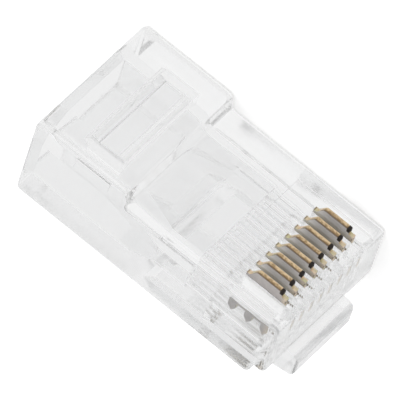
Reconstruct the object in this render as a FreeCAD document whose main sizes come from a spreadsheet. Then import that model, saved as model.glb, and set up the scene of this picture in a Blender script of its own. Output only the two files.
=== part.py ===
"""Clear modular plug with eight contacts, lying on one of its flat sides.

Axes while a piece is drawn: X runs from the rear face to the nose, Y from the latch side to the contact side,
and Z across the width, from the side that it lies on. At the end every piece is moved by the same amount, so that
the origin is under the middle of the whole plug.
"""
import FreeCAD, Part
import Sketcher
import math
import os

SIZES = {
    # moulded body, seen from its flat side
    "width": 11.68,
    "body_length": 21.46,
    "body_height": 6.38,
    "block_length": 8.1,
    "block_height": 7.8,
    "block_lean": 0.32,
    "nose_step_length": 1.1,
    "nose_step_rise": 1.16,
    "corner_round": 0.4,
    "inner_round": 0.35,
    "side_round": 0.28,
    # hollow for the cable and its conductors
    "cable_width": 8.5,
    "cable_floor": 1.5,
    "cable_height": 5.0,
    "cable_corner": 1.3,
    "cable_straight": 6.2,
    "mouth_flare": 0.3,
    "mouth_depth": 0.7,
    "knee_place": 9.0,
    "knee_height": 3.5,
    "funnel_end": 11.0,
    "wire_width": 8.2,
    "wire_floor": 2.3,
    "wire_height": 1.7,
    "wire_corner": 0.3,
    "wire_stop": 13.7,
    # wire channels, one under each contact
    "channel_diameter": 0.92,
    "channel_height": 3.1,
    "channel_end_wall": 1.4,
    "channel_mouth_diameter": 1.3,
    "channel_mouth_depth": 0.6,
    "channel_neck_diameter": 0.78,
    "channel_neck_place": 15.7,
    "channel_neck_length": 0.3,
    # stamped contacts
    "contact_count": 8,
    "contact_pitch": 1.02,
    "contact_thickness": 0.33,
    "contact_length": 3.36,
    "contact_setback": 1.09,
    "crown_height": 7.27,
    "shoulder_height": 6.74,
    "rear_shoulder_height": 6.5,
    "rear_shoulder": 0.25,
    "crown_rise_length": 0.55,
    "front_shoulder": 0.38,
    "crown_rear_round": 0.28,
    "crown_front_round": 0.1,
    "tine_count": 3,
    "tine_tip": 3.62,
    "tine_length": 0.95,
    "tine_point": 0.4,
    "tine_width": 0.62,
    "crimp_travel": 1.2,
    "slot_gap": 0.03,
    # land round the contacts
    "land_start": 14.75,
    "land_depth": 0.12,
    "land_width": 9.3,
    "nose_slot_width": 0.42,
    "nose_slot_depth": 0.35,
    # hollow under the body, over the latch
    "relief_width": 7.0,
    "relief_depth": 0.8,
    "relief_start": 10.6,
    # latch
    "latch_width": 6.2,
    "latch_shoulder": 8.4,
    "latch_reach": 14.6,
    "latch_slope": 12.5,
    "latch_thickness": 1.15,
    "tongue_width": 3.25,
    "tongue_thickness": 0.9,
    "latch_root_radius": 0.85,
    "latch_root_setback": 0.85,
    "latch_root_height": 0.6,
    "chin_length": 0.92,
    "chin_drop": 1.0,
    "chin_brow_round": 0.85,
    "chin_round": 0.45,
    "chin_side_round": 0.3,
    "tip_round": 0.3,
    "tip_side_round": 0.8,
    "shoulder_round": 0.3,
    "hinge_gap": 0.04,
    "latch_side_gap": 0.15,
    # jacket clamp in the roof of the block
    "window_start": 3.3,
    "window_length": 2.9,
    "window_width": 8.1,
    "clamp_gap": 0.2,
    "clamp_width": 7.1,
    "clamp_root_radius": 0.42,
    "clamp_root_inset": 0.12,
    "clamp_root_sink": 0.75,
    "clamp_thickness": 0.6,
    "clamp_tooth": 0.4,
    "clamp_tooth_setback": 0.25,
    "clamp_round": 0.12,
}


class Length:
    """A number together with the sheet expression that gives it, so that a place is written once."""

    def __init__(self, value, text):
        self.value = value
        self.text = text

    def __add__(self, other):
        other = length(other)
        return Length(self.value + other.value, f"({self.text} + {other.text})")

    def __sub__(self, other):
        other = length(other)
        return Length(self.value - other.value, f"({self.text} - {other.text})")

    def __mul__(self, other):
        other = length(other)
        return Length(self.value * other.value, f"({self.text} * {other.text})")

    def __truediv__(self, other):
        other = length(other)
        return Length(self.value / other.value, f"({self.text} / {other.text})")

    def __neg__(self):
        return length(0) - self


def length(number):
    """A plain number becomes a Length whose expression is that number."""
    return number if isinstance(number, Length) else Length(number, repr(number))


def rise_of(angle):
    """Rise over run of a slope given in degrees."""
    return Length(math.tan(math.radians(angle.value)), f"tan({angle.text})")


class Sheet:
    """The sheet of driving sizes. Each one is read by its name, as in size.width."""

    def __init__(self, document):
        self.cells = document.addObject("Spreadsheet::Sheet", "Sizes")
        for row, (name, number) in enumerate(SIZES.items(), start=1):
            self.cells.set(f"A{row}", name)
            self.cells.set(f"B{row}", str(number))
            self.cells.setAlias(f"B{row}", name)

    def __getattr__(self, name):
        return Length(SIZES[name], "Sizes." + name)


doc = FreeCAD.newDocument("modular_plug")
size = Sheet(doc)
doc.recompute()

# Places that more than one piece shares
ACROSS = FreeCAD.Vector(0, 0, 1)
OVERCUT = 0.5
middle = size.width / 2
nose = size.body_length
nose_step = nose - size.nose_step_length
contact_front = nose - size.contact_setback
contact_rear = contact_front - size.contact_length
row_length = size.contact_pitch * (size.contact_count - 1)
first_contact = middle - row_length / 2
root_x = nose - size.latch_root_setback
root_y = size.latch_root_height
window_end = size.window_start + size.window_length
clamp_root_x = size.window_start + size.clamp_root_inset
clamp_root_y = size.block_height - size.clamp_root_sink


def bind(target, path, value):
    """Tie a property to the sheet."""
    target.setExpression(path, length(value).text)


def sketch_on(body, name, role, offset=None):
    """An empty sketch on one of the body's own planes, moved along the plane's normal by offset."""
    sketch = body.newObject("Sketcher::SketchObject", name)
    plane = next(item for item in body.Origin.OriginFeatures if item.Role == role)
    sketch.AttachmentSupport = [(plane, "")]
    sketch.MapMode = "FlatFace"
    if offset is not None:
        bind(sketch, "AttachmentOffset.Base.z", offset)
    return sketch


def side_view(body, name, offset=None):
    """A sketch in the plug's side view: along by up."""
    return sketch_on(body, name, "XY_Plane", offset)


def constrain(sketch, *parts):
    """One constraint, with its datum tied to the sheet where it has one."""
    if isinstance(parts[-1], Length):
        index = sketch.addConstraint(Sketcher.Constraint(*parts[:-1], parts[-1].value))
        bind(sketch, f"Constraints[{index}]", parts[-1])
    else:
        sketch.addConstraint(Sketcher.Constraint(*parts))


def pin(sketch, element, end, across, up):
    """Tie one point of a sketch to its two distances from the origin."""
    constrain(sketch, "DistanceX", -1, 1, element, end, across)
    constrain(sketch, "DistanceY", -1, 1, element, end, up)


def draw_circle(sketch, across, up, radius):
    """A circle about a place in the sketch."""
    centre = FreeCAD.Vector(across.value, up.value, 0)
    element = sketch.addGeometry(Part.Circle(centre, ACROSS, radius.value), False)
    constrain(sketch, "Radius", element, radius)
    pin(sketch, element, 3, across, up)


def corner_arc(before, corner, after, radius):
    """The arc that rounds a corner, and whether it turns left."""
    back, ahead = (before - corner).normalize(), (after - corner).normalize()
    half = math.acos(max(-1.0, min(1.0, back.dot(ahead)))) / 2
    reach = radius / math.tan(half)
    start, end = corner + back * reach, corner + ahead * reach
    centre = corner + (back + ahead).normalize() * (radius / math.sin(half))
    mid = centre + (corner - centre).normalize() * radius
    left = (corner - before).cross(after - corner).z > 0
    return start, mid, end, left


def draw_outline(sketch, corners):
    """A closed outline through corners (across, up) or (across, up, radius), tied corner by corner.

    Helper lines join the pinned corners. The real lines lie on them, and an arc that touches both of its lines
    rounds each corner that has a radius.
    """
    corners = [(length(corner[0]), length(corner[1]), *corner[2:]) for corner in corners]
    points = [FreeCAD.Vector(corner[0].value, corner[1].value, 0) for corner in corners]
    count = len(points)
    ends = []
    for index, corner in enumerate(corners):
        here = points[index]
        if len(corner) == 3:
            ends.append(corner_arc(points[index - 1], here, points[(index + 1) % count], corner[2].value))
        else:
            ends.append((here, here, here, True))
    helpers = [sketch.addGeometry(Part.LineSegment(points[index], points[(index + 1) % count]), True)
               for index in range(count)]
    lines = [sketch.addGeometry(Part.LineSegment(ends[index][2], ends[(index + 1) % count][0]), False)
             for index in range(count)]
    for index, corner in enumerate(corners):
        constrain(sketch, "Coincident", helpers[index - 1], 2, helpers[index], 1)
        pin(sketch, helpers[index], 1, corner[0], corner[1])
        line_in, line_out = lines[index - 1], lines[index]
        if len(corner) == 2:
            constrain(sketch, "Coincident", line_in, 2, helpers[index], 1)
            constrain(sketch, "Coincident", line_out, 1, helpers[index], 1)
            continue
        start, mid, end, left = ends[index]
        arc = sketch.addGeometry(Part.Arc(start, mid, end), False)
        arc_in, arc_out = (1, 2) if left else (2, 1)
        constrain(sketch, "PointOnObject", line_in, 2, helpers[index - 1])
        constrain(sketch, "PointOnObject", line_out, 1, helpers[index])
        constrain(sketch, "Tangent", line_in, 2, arc, arc_in)
        constrain(sketch, "Tangent", arc, arc_out, line_out, 1)
        constrain(sketch, "Radius", arc, corner[2])


def upright_box(left, right, low, high):
    """The four corners of an upright rectangle."""
    return [(left, low), (right, low), (right, high), (left, high)]


def new_body(name):
    """An empty body whose label names its piece."""
    body = doc.addObject("PartDesign::Body", name)
    body.Label = name
    return body


def pad(body, name, sketch, thickness, centred=False):
    """Material to one side of the sketch, or half to each side of it."""
    feature = body.newObject("PartDesign::Pad", name)
    feature.Profile = sketch
    feature.SideType = "Symmetric" if centred else "One side"
    bind(feature, "Length", thickness)
    doc.recompute()
    return feature


def cut_is_real(body, name, before):
    """Stop where a cut points away from the solid and takes nothing off."""
    if body.Shape.Volume >= before - 1e-6:
        raise RuntimeError(f"{body.Label}: {name} cuts nothing")


def centred_pocket(body, name, sketch, width):
    """A cut that reaches as far to one side of its sketch as to the other."""
    before = body.Shape.Volume
    feature = body.newObject("PartDesign::Pocket", name)
    feature.Profile = sketch
    feature.SideType = "Symmetric"
    bind(feature, "Length", width)
    doc.recompute()
    cut_is_real(body, name, before)
    return feature


def forward_pocket(body, name, sketch, depth):
    """A cut along its sketch's normal."""
    before = body.Shape.Volume
    feature = body.newObject("PartDesign::Pocket", name)
    feature.Profile = sketch
    feature.Reversed = True
    bind(feature, "Length", depth)
    doc.recompute()
    cut_is_real(body, name, before)
    return feature


def forward_cone(body, name, place, wide, narrow, depth):
    """A tapered cut along the plug from a place given as up, across and along."""
    before = body.Shape.Volume
    feature = body.newObject("PartDesign::SubtractiveCone", name)
    plane = next(item for item in body.Origin.OriginFeatures if item.Role == "YZ_Plane")
    feature.AttachmentSupport = [(plane, "")]
    feature.MapMode = "FlatFace"
    for path, value in zip(("x", "y", "z"), place):
        bind(feature, f"AttachmentOffset.Base.{path}", value)
    bind(feature, "Radius1", wide)
    bind(feature, "Radius2", narrow)
    bind(feature, "Height", depth)
    doc.recompute()
    cut_is_real(body, name, before)
    return feature


def fillet(body, name, radius, wanted):
    """Round the edges of the body's last feature that pass a test."""
    last = body.Tip
    edges = [f"Edge{number}" for number, edge in enumerate(last.Shape.Edges, start=1) if wanted(edge)]
    feature = body.newObject("PartDesign::Fillet", name)
    feature.Base = (last, edges)
    bind(feature, "Radius", radius)
    doc.recompute()
    return feature


def lies_at(edge, heights):
    """True where a whole edge lies at one of the heights across the plug."""
    box = edge.BoundBox
    return any(abs(box.ZMin - height) < 1e-4 and abs(box.ZMax - height) < 1e-4 for height in heights)


# Body: one clear moulding

def housing_block(body):
    """The outer form: its side view padded across the width, with every outer edge rounded."""
    sketch = side_view(body, "side_outline")
    rounded, inner = size.corner_round, size.inner_round
    draw_outline(sketch, [
        (0, 0, rounded),
        (nose_step, 0, rounded),
        (nose_step, size.nose_step_rise, inner),
        (nose, size.nose_step_rise, rounded),
        (nose, size.body_height, rounded),
        (size.block_length, size.body_height, inner),
        (size.block_length - size.block_lean, size.block_height, rounded),
        (0, size.block_height, rounded),
    ])
    pad(body, "block", sketch, size.width)
    fillet(body, "rounded_sides", size.side_round, lambda edge: lies_at(edge, (0, size.width.value)))


def hollow_section(body, name, place, width, floor, height, corner):
    """One section of the hollow: a rectangle with its two upper and two lower corners cut off."""
    sketch = sketch_on(body, name, "YZ_Plane", place)
    left, right = middle - width / 2, middle + width / 2
    roof = floor + height
    small = size.wire_corner
    draw_outline(sketch, [
        (floor, left + small),
        (floor + small, left),
        (roof - corner, left),
        (roof, left + corner),
        (roof, right - corner),
        (roof - corner, right),
        (floor + small, right),
        (floor, right - small),
    ])
    return sketch


def housing_hollow(body):
    """The hollow from the flared mouth through the cable's room and down the funnel to the conductors' stop."""
    flare = size.mouth_flare
    knee_width = (size.cable_width + size.wire_width) / 2
    knee_corner = (size.cable_corner + size.wire_corner) / 2
    sections = [
        hollow_section(body, "mouth", 0, size.cable_width + flare * 2, size.cable_floor - flare,
                       size.cable_height + flare * 2, size.cable_corner),
        hollow_section(body, "throat", size.mouth_depth, size.cable_width, size.cable_floor,
                       size.cable_height, size.cable_corner),
        hollow_section(body, "jacket_stop", size.cable_straight, size.cable_width, size.cable_floor,
                       size.cable_height, size.cable_corner),
        hollow_section(body, "knee", size.knee_place, knee_width, size.cable_floor,
                       size.knee_height, knee_corner),
        hollow_section(body, "funnel_foot", size.funnel_end, size.wire_width, size.wire_floor,
                       size.wire_height, size.wire_corner),
        hollow_section(body, "wire_stop", size.wire_stop, size.wire_width, size.wire_floor,
                       size.wire_height, size.wire_corner),
    ]
    before = body.Shape.Volume
    loft = body.newObject("PartDesign::SubtractiveLoft", "hollow")
    loft.Profile = sections[0]
    loft.Sections = sections[1:]
    loft.Ruled = True
    doc.recompute()
    cut_is_real(body, "hollow", before)


def housing_land(body):
    """The slightly lower land on the contact side, which the contacts stand in."""
    land = side_view(body, "land_outline", middle)
    draw_outline(land, upright_box(
        size.land_start, nose + OVERCUT, size.body_height - size.land_depth, size.body_height + OVERCUT))
    centred_pocket(body, "contact_land", land, size.land_width)


def housing_contact_places(body):
    """One contact slot, one wire channel below it and one slot in the nose ahead of it, repeated across the row."""
    wide, narrow = size.channel_diameter / 2, size.channel_neck_diameter / 2
    start = size.wire_stop - OVERCUT
    channel_sketch = sketch_on(body, "channel_outline", "YZ_Plane", start)
    draw_circle(channel_sketch, size.channel_height, first_contact, wide)
    channel = forward_pocket(body, "wire_channel", channel_sketch, size.channel_neck_place - start)
    mouth = forward_cone(body, "channel_mouth", (size.channel_height, first_contact, size.wire_stop),
                         size.channel_mouth_diameter / 2, wide, size.channel_mouth_depth)
    neck = forward_cone(body, "channel_neck", (size.channel_height, first_contact, size.channel_neck_place),
                        wide, narrow, size.channel_neck_length)
    end_sketch = sketch_on(body, "channel_end_outline", "YZ_Plane", size.channel_neck_place)
    draw_circle(end_sketch, size.channel_height, first_contact, narrow)
    channel_end = forward_pocket(body, "channel_end", end_sketch,
                                 nose - size.channel_end_wall - size.channel_neck_place)
    slot_sketch = side_view(body, "slot_outline", first_contact)
    draw_outline(slot_sketch, upright_box(
        contact_rear - size.slot_gap, contact_front + size.slot_gap,
        size.tine_tip - size.crimp_travel - size.slot_gap, size.crown_height + OVERCUT))
    slot = centred_pocket(body, "contact_slot", slot_sketch, size.contact_thickness + size.slot_gap * 2)
    nose_sketch = side_view(body, "nose_slot_outline", first_contact)
    draw_outline(nose_sketch, upright_box(
        contact_front - size.slot_gap, nose + OVERCUT,
        size.body_height - size.nose_slot_depth, size.body_height + OVERCUT))
    nose_slot = centred_pocket(body, "nose_slot", nose_sketch, size.nose_slot_width)
    row = body.newObject("PartDesign::LinearPattern", "contact_row")
    row.Originals = [channel, mouth, neck, channel_end, slot, nose_slot]
    axis = next(item for item in body.Origin.OriginFeatures if item.Role == "Z_Axis")
    row.Direction = (axis, [""])
    bind(row, "Length", row_length)
    bind(row, "Occurrences", size.contact_count)
    body.Tip = row
    doc.recompute()


def housing_underside(body):
    """The relief that the pressed latch swings into, and the round seat of the latch's root."""
    relief = side_view(body, "relief_outline", middle)
    draw_outline(relief, [
        (size.relief_start - OVERCUT, -length(OVERCUT)),
        (nose_step + OVERCUT, -length(OVERCUT)),
        (nose_step + OVERCUT, size.relief_depth),
        (size.relief_start + size.relief_depth, size.relief_depth),
    ])
    centred_pocket(body, "latch_relief", relief, size.relief_width)
    seat = side_view(body, "latch_seat_outline", middle)
    draw_circle(seat, root_x, root_y, size.latch_root_radius + size.hinge_gap)
    centred_pocket(body, "latch_seat", seat, size.latch_width + size.latch_side_gap * 2)


def housing_window(body):
    """The window through the block's roof, with the round seat of the jacket clamp's root in its rear wall."""
    window = side_view(body, "window_outline", middle)
    draw_outline(window, upright_box(
        size.window_start, window_end, size.cable_floor + size.cable_height - size.cable_corner,
        size.block_height + OVERCUT))
    centred_pocket(body, "clamp_window", window, size.window_width)
    seat = side_view(body, "clamp_seat_outline", middle)
    draw_circle(seat, clamp_root_x, clamp_root_y, size.clamp_root_radius + size.hinge_gap)
    centred_pocket(body, "clamp_seat", seat, size.window_width)


def make_housing():
    """The clear body with its cable hollow, wire channels, contact slots, latch seat and clamp window."""
    body = new_body("housing")
    housing_block(body)
    housing_hollow(body)
    housing_window(body)
    housing_underside(body)
    housing_land(body)
    housing_contact_places(body)
    return body


# Latch: the sprung lever under the nose

def make_latch():
    """A root barrel in the nose's seat, a chin ahead of it, and a lever that narrows to a tongue at its shoulders."""
    body = new_body("latch")
    slope = rise_of(size.latch_slope)
    chin_x = nose + size.chin_length
    brow_y = size.nose_step_rise - size.hinge_gap
    shoulder_x = nose - size.latch_shoulder
    tip_x = nose - size.latch_reach

    def underside(place):
        return -(size.chin_drop + slope * (chin_x - place))

    lever = side_view(body, "lever_outline", middle)
    draw_outline(lever, [
        (tip_x, underside(tip_x), size.tip_round),
        (chin_x, -size.chin_drop, size.chin_round),
        (chin_x, brow_y, size.chin_brow_round),
        (root_x, brow_y),
        (root_x, underside(root_x) + size.latch_thickness),
        (shoulder_x, underside(shoulder_x) + size.latch_thickness),
        (shoulder_x, underside(shoulder_x) + size.tongue_thickness),
        (tip_x, underside(tip_x) + size.tongue_thickness, size.tip_round),
    ])
    pad(body, "lever", lever, size.latch_width, centred=True)
    root = side_view(body, "root_outline", middle)
    draw_circle(root, root_x, root_y, size.latch_root_radius)
    pad(body, "root_barrel", root, size.latch_width, centred=True)
    plan = sketch_on(body, "plan_outline", "XZ_Plane")
    half, narrow = size.latch_width / 2, size.tongue_width / 2
    draw_outline(plan, upright_box(
        tip_x - OVERCUT, chin_x + OVERCUT, middle - half - OVERCUT, middle + half + OVERCUT))
    draw_outline(plan, [
        (tip_x, middle - narrow, size.tip_side_round),
        (shoulder_x, middle - narrow, size.shoulder_round),
        (shoulder_x, middle - half),
        (chin_x, middle - half, size.chin_side_round),
        (chin_x, middle + half, size.chin_side_round),
        (shoulder_x, middle + half),
        (shoulder_x, middle + narrow, size.shoulder_round),
        (tip_x, middle + narrow, size.tip_side_round),
    ])
    depth = (size.chin_drop + slope * size.latch_reach + size.latch_root_radius + root_y) * 2
    centred_pocket(body, "lever_plan", plan, depth)
    return body


# Jacket clamp: the bar that is pressed down on the cable

def make_jacket_clamp():
    """A bar across the window, with a round root at its rear edge and a tooth along its front edge."""
    body = new_body("jacket_clamp")
    bar_width = size.clamp_width
    front = window_end - size.clamp_gap
    roof = size.cable_floor + size.cable_height
    tooth_x = front - size.clamp_tooth_setback
    bar = side_view(body, "bar_outline", middle)
    draw_outline(bar, [
        (clamp_root_x, roof + size.clamp_tooth),
        (tooth_x - size.clamp_tooth, roof + size.clamp_tooth),
        (tooth_x, roof, size.clamp_round),
        (front, roof + size.clamp_tooth, size.clamp_round),
        (front, roof + size.clamp_tooth + size.clamp_thickness, size.clamp_round),
        (clamp_root_x, clamp_root_y + size.clamp_root_radius / 2),
    ])
    pad(body, "bar", bar, bar_width, centred=True)
    root = side_view(body, "bar_root_outline", middle)
    draw_circle(root, clamp_root_x, clamp_root_y, size.clamp_root_radius)
    pad(body, "bar_root", root, bar_width, centred=True)
    return body


# Contacts: stamped blades, standing proud until the cable is crimped

def make_contact(number):
    """A blade whose crown rises from its rear shoulder and drops to its front one, with pointed tines below."""
    body = new_body(f"contact_{number}")
    blade = side_view(body, "blade_outline", first_contact + size.contact_pitch * (number - 1))
    neck = size.tine_tip + size.tine_point
    base = size.tine_tip + size.tine_length
    count = SIZES["tine_count"]
    tine_pitch = (size.contact_length - size.tine_width) / (count - 1)
    corners = []
    for index in range(count):
        start = contact_rear + tine_pitch * index
        end = start + size.tine_width
        point = (start + size.tine_width / 2, size.tine_tip)
        corners += [(start, base), (start, neck), point, (end, neck), (end, base)]
    ramp_foot = contact_rear + size.rear_shoulder
    crown_front = contact_front - size.front_shoulder
    corners += [
        (contact_front, size.shoulder_height),
        (crown_front, size.shoulder_height),
        (crown_front, size.crown_height, size.crown_front_round),
        (ramp_foot + size.crown_rise_length, size.crown_height, size.crown_rear_round),
        (ramp_foot, size.rear_shoulder_height),
        (contact_rear, size.rear_shoulder_height),
    ]
    draw_outline(blade, corners)
    pad(body, "blade", blade, size.contact_thickness, centred=True)
    return body


def check(pieces):
    """Stop where an object failed to build or a piece isn't one sound solid."""
    for item in doc.Objects:
        if "Invalid" in item.State or "Error" in item.State:
            raise RuntimeError(f"{item.Label} failed to build: {item.State}")
    for piece in pieces:
        shape = piece.Shape
        if shape.isNull() or not shape.isValid() or len(shape.Solids) != 1:
            raise RuntimeError(f"{piece.Label} isn't one sound solid")


def settle(pieces):
    """Move every piece alike, so that the origin is under the middle of the whole plug, and return the move."""
    box = Part.makeCompound([piece.Shape for piece in pieces]).optimalBoundingBox()
    move = FreeCAD.Vector(-box.Center.x, -box.Center.y, -box.ZMin)
    for piece in pieces:
        piece.Placement = FreeCAD.Placement(move, FreeCAD.Rotation())
    doc.recompute()
    return move


pieces = [make_housing(), make_latch(), make_jacket_clamp()]
pieces += [make_contact(number) for number in range(1, SIZES["contact_count"] + 1)]
doc.recompute()
check(pieces)
move = settle(pieces)
check(pieces)

os.makedirs("parts", exist_ok=True)
for piece in pieces:
    piece.Shape.exportStep(f"parts/{piece.Label}.step")
    print(f"{piece.Label}: {piece.Shape.Volume:.3f} cubic mm, {len(piece.Shape.Faces)} faces")
print(f"moved by {move.x:.4f}, {move.y:.4f}, {move.z:.4f}")
print(f"latch hinge at {root_x.value + move.x:.4f}, {root_y.value + move.y:.4f}")
print(f"clamp hinge at {clamp_root_x.value + move.x:.4f}, {clamp_root_y.value + move.y:.4f}")
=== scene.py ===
# %% [markdown]
# A clear modular plug, photographed from above on white.
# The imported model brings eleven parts: the moulded housing, its latch, the jacket clamp and eight contacts.
# Their shapes come with it, so this lesson is about two finishes, clear moulded polycarbonate and
# gold-plated stamped copper alloy, and about the light that clear plastic needs to be seen at all.

import bpy
from mathutils import Matrix, Vector


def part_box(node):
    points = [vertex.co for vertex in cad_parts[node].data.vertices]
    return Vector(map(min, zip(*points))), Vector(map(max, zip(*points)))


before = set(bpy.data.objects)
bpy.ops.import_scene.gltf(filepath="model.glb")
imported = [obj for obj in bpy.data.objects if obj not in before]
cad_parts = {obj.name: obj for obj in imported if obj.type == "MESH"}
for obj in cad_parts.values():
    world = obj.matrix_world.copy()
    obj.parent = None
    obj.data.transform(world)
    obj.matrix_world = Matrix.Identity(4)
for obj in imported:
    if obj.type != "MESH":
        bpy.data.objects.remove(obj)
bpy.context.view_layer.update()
MM = 0.001
print("parts:", ", ".join(sorted(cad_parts)))

# %% [markdown]
# Finishes are built from nodes, and most of the work is arithmetic: a mask times a height plus some noise.
# Wiring Math nodes one by one hides the formula, so one small class wraps a socket and turns Python's own
# operators into Math nodes. A formula then reads as one. Every other kind of node comes from one method.

# %% A wrapped socket, with arithmetic
class Wire:
    """An output socket of a node. Plain arithmetic on it adds Math nodes."""

    def __init__(self, nodes, socket):
        self.nodes = nodes
        self.socket = socket

    def math(self, operation, first, second=0.0):
        return self.nodes.add("ShaderNodeMath", {"operation": operation}, {0: first, 1: second})

    def __add__(self, other):
        return self.math("ADD", self, other)

    def __sub__(self, other):
        return self.math("SUBTRACT", self, other)

    def __mul__(self, other):
        return self.math("MULTIPLY", self, other)

    def __truediv__(self, other):
        return self.math("DIVIDE", self, other)

    def __gt__(self, other):
        return self.math("GREATER_THAN", self, other)

    def __lt__(self, other):
        return self.math("LESS_THAN", self, other)

    def __abs__(self):
        return self.math("ABSOLUTE", self)

    def __rsub__(self, other):
        return self.math("SUBTRACT", other, self)

    __radd__ = __add__
    __rmul__ = __mul__

    def other(self, name):
        """Another output of the same node."""
        return Wire(self.nodes, self.socket.node.outputs[name])


# %% One method for every node
class Nodes:
    """A node tree under construction."""

    def __init__(self, tree):
        self.tree = tree

    def add(self, kind, settings=None, sockets=None, output=0):
        """Add a node, set what it is, feed its sockets, and hand back one of its outputs."""
        node = self.tree.nodes.new(kind)
        for name, value in (settings or {}).items():
            setattr(node, name, value)
        self.feed(node, sockets or {})
        return Wire(self, node.outputs[output])

    def feed(self, node, sockets):
        """Give each named socket its value or its link."""
        for name, value in sockets.items():
            if isinstance(value, Wire):
                self.tree.links.new(value.socket, node.inputs[name])
            else:
                node.inputs[name].default_value = value

    def mix(self, amount, first, second):
        """A colour between two others."""
        return self.add("ShaderNodeMix", {"data_type": "RGBA"}, {0: amount, 6: first, 7: second}, output=2)

    def clamp(self, value):
        """A number kept between 0 and 1."""
        return self.add("ShaderNodeClamp", sockets={0: value})


class Finish(Nodes):
    """A material under construction."""

    def __init__(self, name):
        self.material = bpy.data.materials.new(name)
        self.material.use_nodes = True
        super().__init__(self.material.node_tree)
        self.shader = self.tree.nodes["Principled BSDF"]

    def surface(self, **sockets):
        """Feed the surface shader. Underscores stand for the spaces in socket names."""
        self.feed(self.shader, {name.replace("_", " "): value for name, value in sockets.items()})

    def place(self):
        """Where the shaded point is, in millimetres of the part: all of it, then along, up and across."""
        where = self.add("ShaderNodeTexCoord", output="Object")
        in_mm = self.add("ShaderNodeVectorMath", {"operation": "SCALE"}, {0: where, "Scale": 1 / MM})
        split = self.add("ShaderNodeSeparateXYZ", sockets={0: in_mm})
        return in_mm, split, split.other("Y"), split.other("Z")


print("finish kit ready")

# %% [markdown]
# The camera comes first, because every later choice is judged through it.
# The photo was taken with a long lens: edges that are parallel on the plug stay almost parallel in the photo.
# The camera's three axes and its distance come from laying the plug's outline over the outline in the photo.
# The plug lies on its side here, so the camera has to roll to see it as the photo does.
# It looks at a point near the plug's middle, and then moves a little to frame the plug as the photo does.

# %% Camera
TO_RIGHT = Vector((0.75971, 0.18817, -0.62245)).normalized()
AHEAD = Vector((-0.22970, -0.81786, -0.52759)).normalized()
DOWN = AHEAD.cross(TO_RIGHT).normalized()
PIXELS_PER_MM = 14.997
DISTANCE = 909 * MM
SENSOR = 36.0
PHOTO_WIDTH = 400
PLUG_MIDDLE = Vector((0.015, -0.028, 5.84))
MOVED_LEFT = 0.102
MOVED_UP = 1.672

aim = PLUG_MIDDLE * MM - TO_RIGHT * (MOVED_LEFT * MM) - DOWN * (MOVED_UP * MM)
lens = bpy.data.cameras.new("long_lens")
lens.sensor_width = SENSOR
lens.lens = PIXELS_PER_MM * (DISTANCE / MM) * SENSOR / PHOTO_WIDTH
camera = bpy.data.objects.new("camera", lens)
bpy.context.scene.collection.objects.link(camera)
turn = Matrix((TO_RIGHT, -DOWN, -AHEAD)).transposed().to_4x4()
camera.matrix_world = Matrix.Translation(aim - AHEAD * DISTANCE) @ turn
bpy.context.scene.camera = camera
print(f"camera {DISTANCE:.2f} m away, lens {lens.lens:.0f} mm")

# %% [markdown]
# Clear plastic shows what lies behind it and around it. In an all-white room it would vanish, so the room is
# white but for a dim patch on the photographer's side, and the edges bend a bit of that patch into view.
# The lamp shines on the plastic, but isn't seen through it: there it would be a hard white square.
# It is wide, because a small one leaves a bright glint in the window over the clamp.
# Clear plastic also needs more bends of light than an opaque thing, because every wall has two faces.

# %% Room
bpy.context.scene.view_settings.view_transform = "Standard"
world = bpy.data.worlds.new("room")
world.use_nodes = True
bpy.context.scene.world = world
room = Nodes(world.node_tree)
DIM_SIDE = (0.23, 0.82, 0.53)
LAMP_AIM = Vector((0, 0, 6 * MM))
BENDS = 32
seen = room.add("ShaderNodeLightPath", output="Is Camera Ray")
way = room.add("ShaderNodeTexCoord", output="Generated")
towards = room.add("ShaderNodeVectorMath", {"operation": "DOT_PRODUCT"}, {0: way, 1: DIM_SIDE}, "Value")
white = room.add("ShaderNodeMapRange", {"interpolation_type": "SMOOTHSTEP"},
                 {"Value": towards, "From Min": 0.72, "From Max": 0.98, "To Min": 0.95, "To Max": 0.35})
strength = white + seen * (1.0 - white)
room.feed(room.tree.nodes["Background"], {"Color": (1.0, 1.0, 1.0, 1.0), "Strength": strength})


def soft_lamp(name, place, size, watts):
    """A square lamp that faces the plug."""
    lamp = bpy.data.lights.new(name, "AREA")
    lamp.size = size
    lamp.energy = watts
    lamp_object = bpy.data.objects.new(name, lamp)
    lamp_object.location = place
    lamp_object.rotation_euler = (LAMP_AIM - Vector(place)).to_track_quat("-Z", "Y").to_euler()
    lamp_object.visible_transmission = False
    bpy.context.scene.collection.objects.link(lamp_object)


soft_lamp("overhead", (-0.10, 0.12, 0.30), 0.30, 0.25)
bpy.context.scene.cycles.max_bounces = BENDS
bpy.context.scene.cycles.transmission_bounces = BENDS
bpy.context.scene.cycles.glossy_bounces = BENDS
print("room lit")

# %% [markdown]
# The floor is white to the camera and through the plastic, and still takes the plug's soft shadow.
# It lies a little under the plug, because in one plane with it the two show as stripes from below.

# %% Floor
FLOOR_GAP = 0.05 * MM

bpy.ops.mesh.primitive_plane_add(size=4.0, location=(0, 0, -FLOOR_GAP))
floor = bpy.context.object
floor.name = "floor"
paper = Finish("white_paper")
rays = paper.add("ShaderNodeLightPath", output="Is Camera Ray")
through = rays.other("Is Glossy Ray") + rays.other("Is Transmission Ray")
paper.surface(Base_Color=(0.8, 0.8, 0.8, 1.0), Roughness=0.9, Emission_Color=(1.0, 1.0, 1.0, 1.0),
              Emission_Strength=rays * 0.5)
glow = paper.add("ShaderNodeEmission", sockets={"Color": (0.9, 0.9, 0.9, 1.0), "Strength": 1.0})
plain = Wire(paper, paper.shader.outputs[0])
both = paper.add("ShaderNodeMixShader", sockets={0: through, 1: plain, 2: glow})
paper.tree.links.new(both.socket, paper.tree.nodes["Material Output"].inputs["Surface"])
floor.data.materials.append(paper.material)
print("floor laid")

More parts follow.
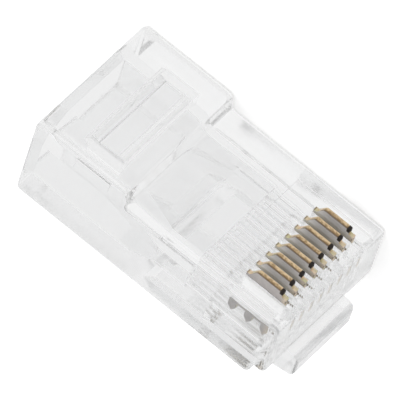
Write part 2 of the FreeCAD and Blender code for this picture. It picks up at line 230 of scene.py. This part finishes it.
# %% [markdown]
# Polycarbonate is a little denser to light than window glass, so its edges bend more.
# Its colour here is what one face takes from the light: the more faces a ray crosses, the greyer it gets,
# which is what makes the channels and the funnel show inside the clear body.

# %% Clear polycarbonate
def clear_plastic(name):
    """Clear moulded plastic whose faces aren't quite even."""
    finish = Finish(name)
    where = finish.place()[0]
    flow = finish.add("ShaderNodeTexNoise", sockets={"Vector": where, "Scale": 0.35, "Detail": 1.0})
    bumps = finish.add("ShaderNodeBump", sockets={"Strength": 0.2, "Distance": 0.0001, "Height": flow})
    finish.surface(Base_Color=(0.955, 0.957, 0.958, 1.0), Roughness=0.06 + flow * 0.05, IOR=1.585,
                   Transmission_Weight=1.0, Normal=bumps)
    return finish.material


clear = clear_plastic("clear_polycarbonate")
for part in ("housing", "latch", "jacket_clamp"):
    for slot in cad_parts[part].material_slots:
        slot.material = clear
print("clear parts finished")

# %% [markdown]
# A contact is stamped from strip, then plated. Its crown and shoulders are gold, and its two sheared sides are
# greyer, with the marks of the shear. A side can be told from an edge by which way the face points.
# Several colours here are painted light and shade, matched to the photograph by colour, and are not known
# facts about the metal.
# The sides between the blades are painted lighter than the two outermost ones, and lighter lower down. This
# painted light makes up for the close blades shading each other more here than they do in the photograph.
# Lower still, a painted olive shade darkens them again.
# The gold is painted darker towards one side of each blade, a painted shade, because it looks so in the
# photograph.
# The front end of each crown is painted almost black for the same reason, a painted dark reflection.
# A dark brown line runs along the top of each sheared side and along one edge of each crown.
# The lengths below are in millimetres. A depth is measured down from the top of the crown.

# %% Gold-plated contacts
CROWN_FRONT = 0.38
CROWN_DEPTH = 0.5
GOLD_DEPTH = 0.45
LIGHT_DEPTH = 0.1
PAINTED_SHADE_DEPTH = 0.60
DARK_LINE_DEPTH = 0.10
TICK_TOP, TICK_BOTTOM, TICK_LENGTH = 0.68, 0.95, 0.05
REAR_TICK_LENGTH = 0.09
TIP_LENGTH = 0.45
DARK_DEPTH, DARK_LENGTH = 0.36, 0.24
SOFT = 6.0
SIDE_FACING = 0.7


def plated_contact(name):
    """Gold edges painted darker towards one side, grey sheared sides painted lighter between blades, a crown
    front painted black as a reflection.
    """
    finish = Finish(name)
    where, along, up, across = finish.place()
    low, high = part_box("contact_1")
    pitch = (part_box("contact_2")[0].z - low.z) / MM
    middle = (low.z + high.z) / 2 / MM
    half = (high.z - low.z) / 2 / MM
    rear, front, crown = low.x / MM, high.x / MM, high.y / MM
    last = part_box("contact_8")[1].z / MM
    row_middle = (low.z / MM + last) / 2

    lane = (across - middle) / pitch
    nearer = (lane - lane.math("ROUND", lane)) * (pitch / half)
    facing = finish.add("ShaderNodeTexCoord", output="Normal")
    side = abs(finish.add("ShaderNodeSeparateXYZ", sockets={0: facing}, output="Z")) > SIDE_FACING
    grain = (3.0, 1.0, 9.0)
    long_grain = finish.add("ShaderNodeVectorMath", {"operation": "MULTIPLY"}, {0: where, 1: grain})
    streak = finish.add("ShaderNodeTexNoise", sockets={"Vector": long_grain, "Scale": 1.0, "Detail": 4.0})
    blotch = finish.add("ShaderNodeTexNoise", sockets={"Vector": where, "Scale": 2.2, "Detail": 2.0})
    mottle = finish.add("ShaderNodeTexNoise", sockets={"Vector": where, "Scale": 6.0, "Detail": 2.0})

    # Painted shade: the gold is darker towards one side of each blade, with random mottle and streaks on top.
    shade = finish.clamp(nearer * 0.7 + 0.5 + (mottle - 0.5) * 3.0 + (streak - 0.5) * 1.5)
    gold = finish.mix(shade, (0.78, 0.60, 0.36, 1.0), (0.36, 0.24, 0.12, 1.0))
    beige = finish.mix(finish.clamp(blotch * 3.0 - 1.0), (0.90, 0.68, 0.52, 1.0), (0.62, 0.60, 0.36, 1.0))
    edge = finish.mix(finish.clamp((up - crown + GOLD_DEPTH) * SOFT), beige, gold)
    deep = finish.clamp((crown - up - PAINTED_SHADE_DEPTH) * SOFT)
    tip = finish.clamp((along - front + TIP_LENGTH) * 3.0)
    outermost = abs(across - row_middle) > last - row_middle - half / 2
    # Painted light: the inner sides are painted lighter, and lighter lower down, where the close blades shade
    # each other.
    lighter = finish.clamp((crown - up - LIGHT_DEPTH) * 2.0)
    inner_painted_light_grey = finish.mix(lighter, (0.64, 0.61, 0.60, 1.0), (0.92, 0.89, 0.86, 1.0))
    outer_grey = finish.mix(streak, (0.60, 0.56, 0.54, 1.0), (0.46, 0.43, 0.42, 1.0))
    grey = finish.mix(outermost, inner_painted_light_grey, outer_grey)
    # Painted shade: low on the inner sides, the grey is mixed halfway towards a dark olive.
    painted_shade_low = finish.mix(deep * (1.0 - outermost) * 0.5, grey, (0.60, 0.55, 0.42, 1.0))
    sheared = finish.mix(tip * 0.7, painted_shade_low, (0.86, 0.72, 0.55, 1.0))
    colour = finish.mix(side, edge, sheared)

    # A dark brown line is painted along the top of each sheared side and along the nearer edge of each crown
    # top.
    dark_edge_line = (side * (up > crown - DARK_LINE_DEPTH) + (1.0 - side) * (nearer > 0.55)) * (up > crown - CROWN_DEPTH)
    front_tick = (along > front - TICK_LENGTH) * (up < crown - TICK_TOP) * (up > crown - TICK_BOTTOM)
    ticks = front_tick + (along < rear + REAR_TICK_LENGTH) * (1.0 - side)
    crown_end = front - CROWN_FRONT
    # Painted reflection: the front end of each crown is painted almost black, and made rough and not metallic.
    painted_reflection_end = (up > crown - DARK_DEPTH) * (along > crown_end - DARK_LENGTH) * (along < crown_end + 0.02)
    colour = finish.mix(finish.clamp(dark_edge_line * 0.7 + ticks * 0.7), colour, (0.14, 0.09, 0.05, 1.0))
    colour = finish.mix(painted_reflection_end, colour, (0.02, 0.014, 0.01, 1.0))
    bumps = finish.add("ShaderNodeBump", sockets={"Strength": 0.3, "Distance": 0.00002, "Height": streak})
    finish.surface(Base_Color=colour, Metallic=(0.6 - side * 0.5) * (1.0 - painted_reflection_end),
                   Roughness=0.3 + side * 0.2 + painted_reflection_end * 0.5, Normal=bumps)
    return finish.material


plated = plated_contact("gold_plated_contact")
CONTACTS = 8
for number in range(1, CONTACTS + 1):
    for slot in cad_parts[f"contact_{number}"].material_slots:
        slot.material = plated
print("contacts finished")
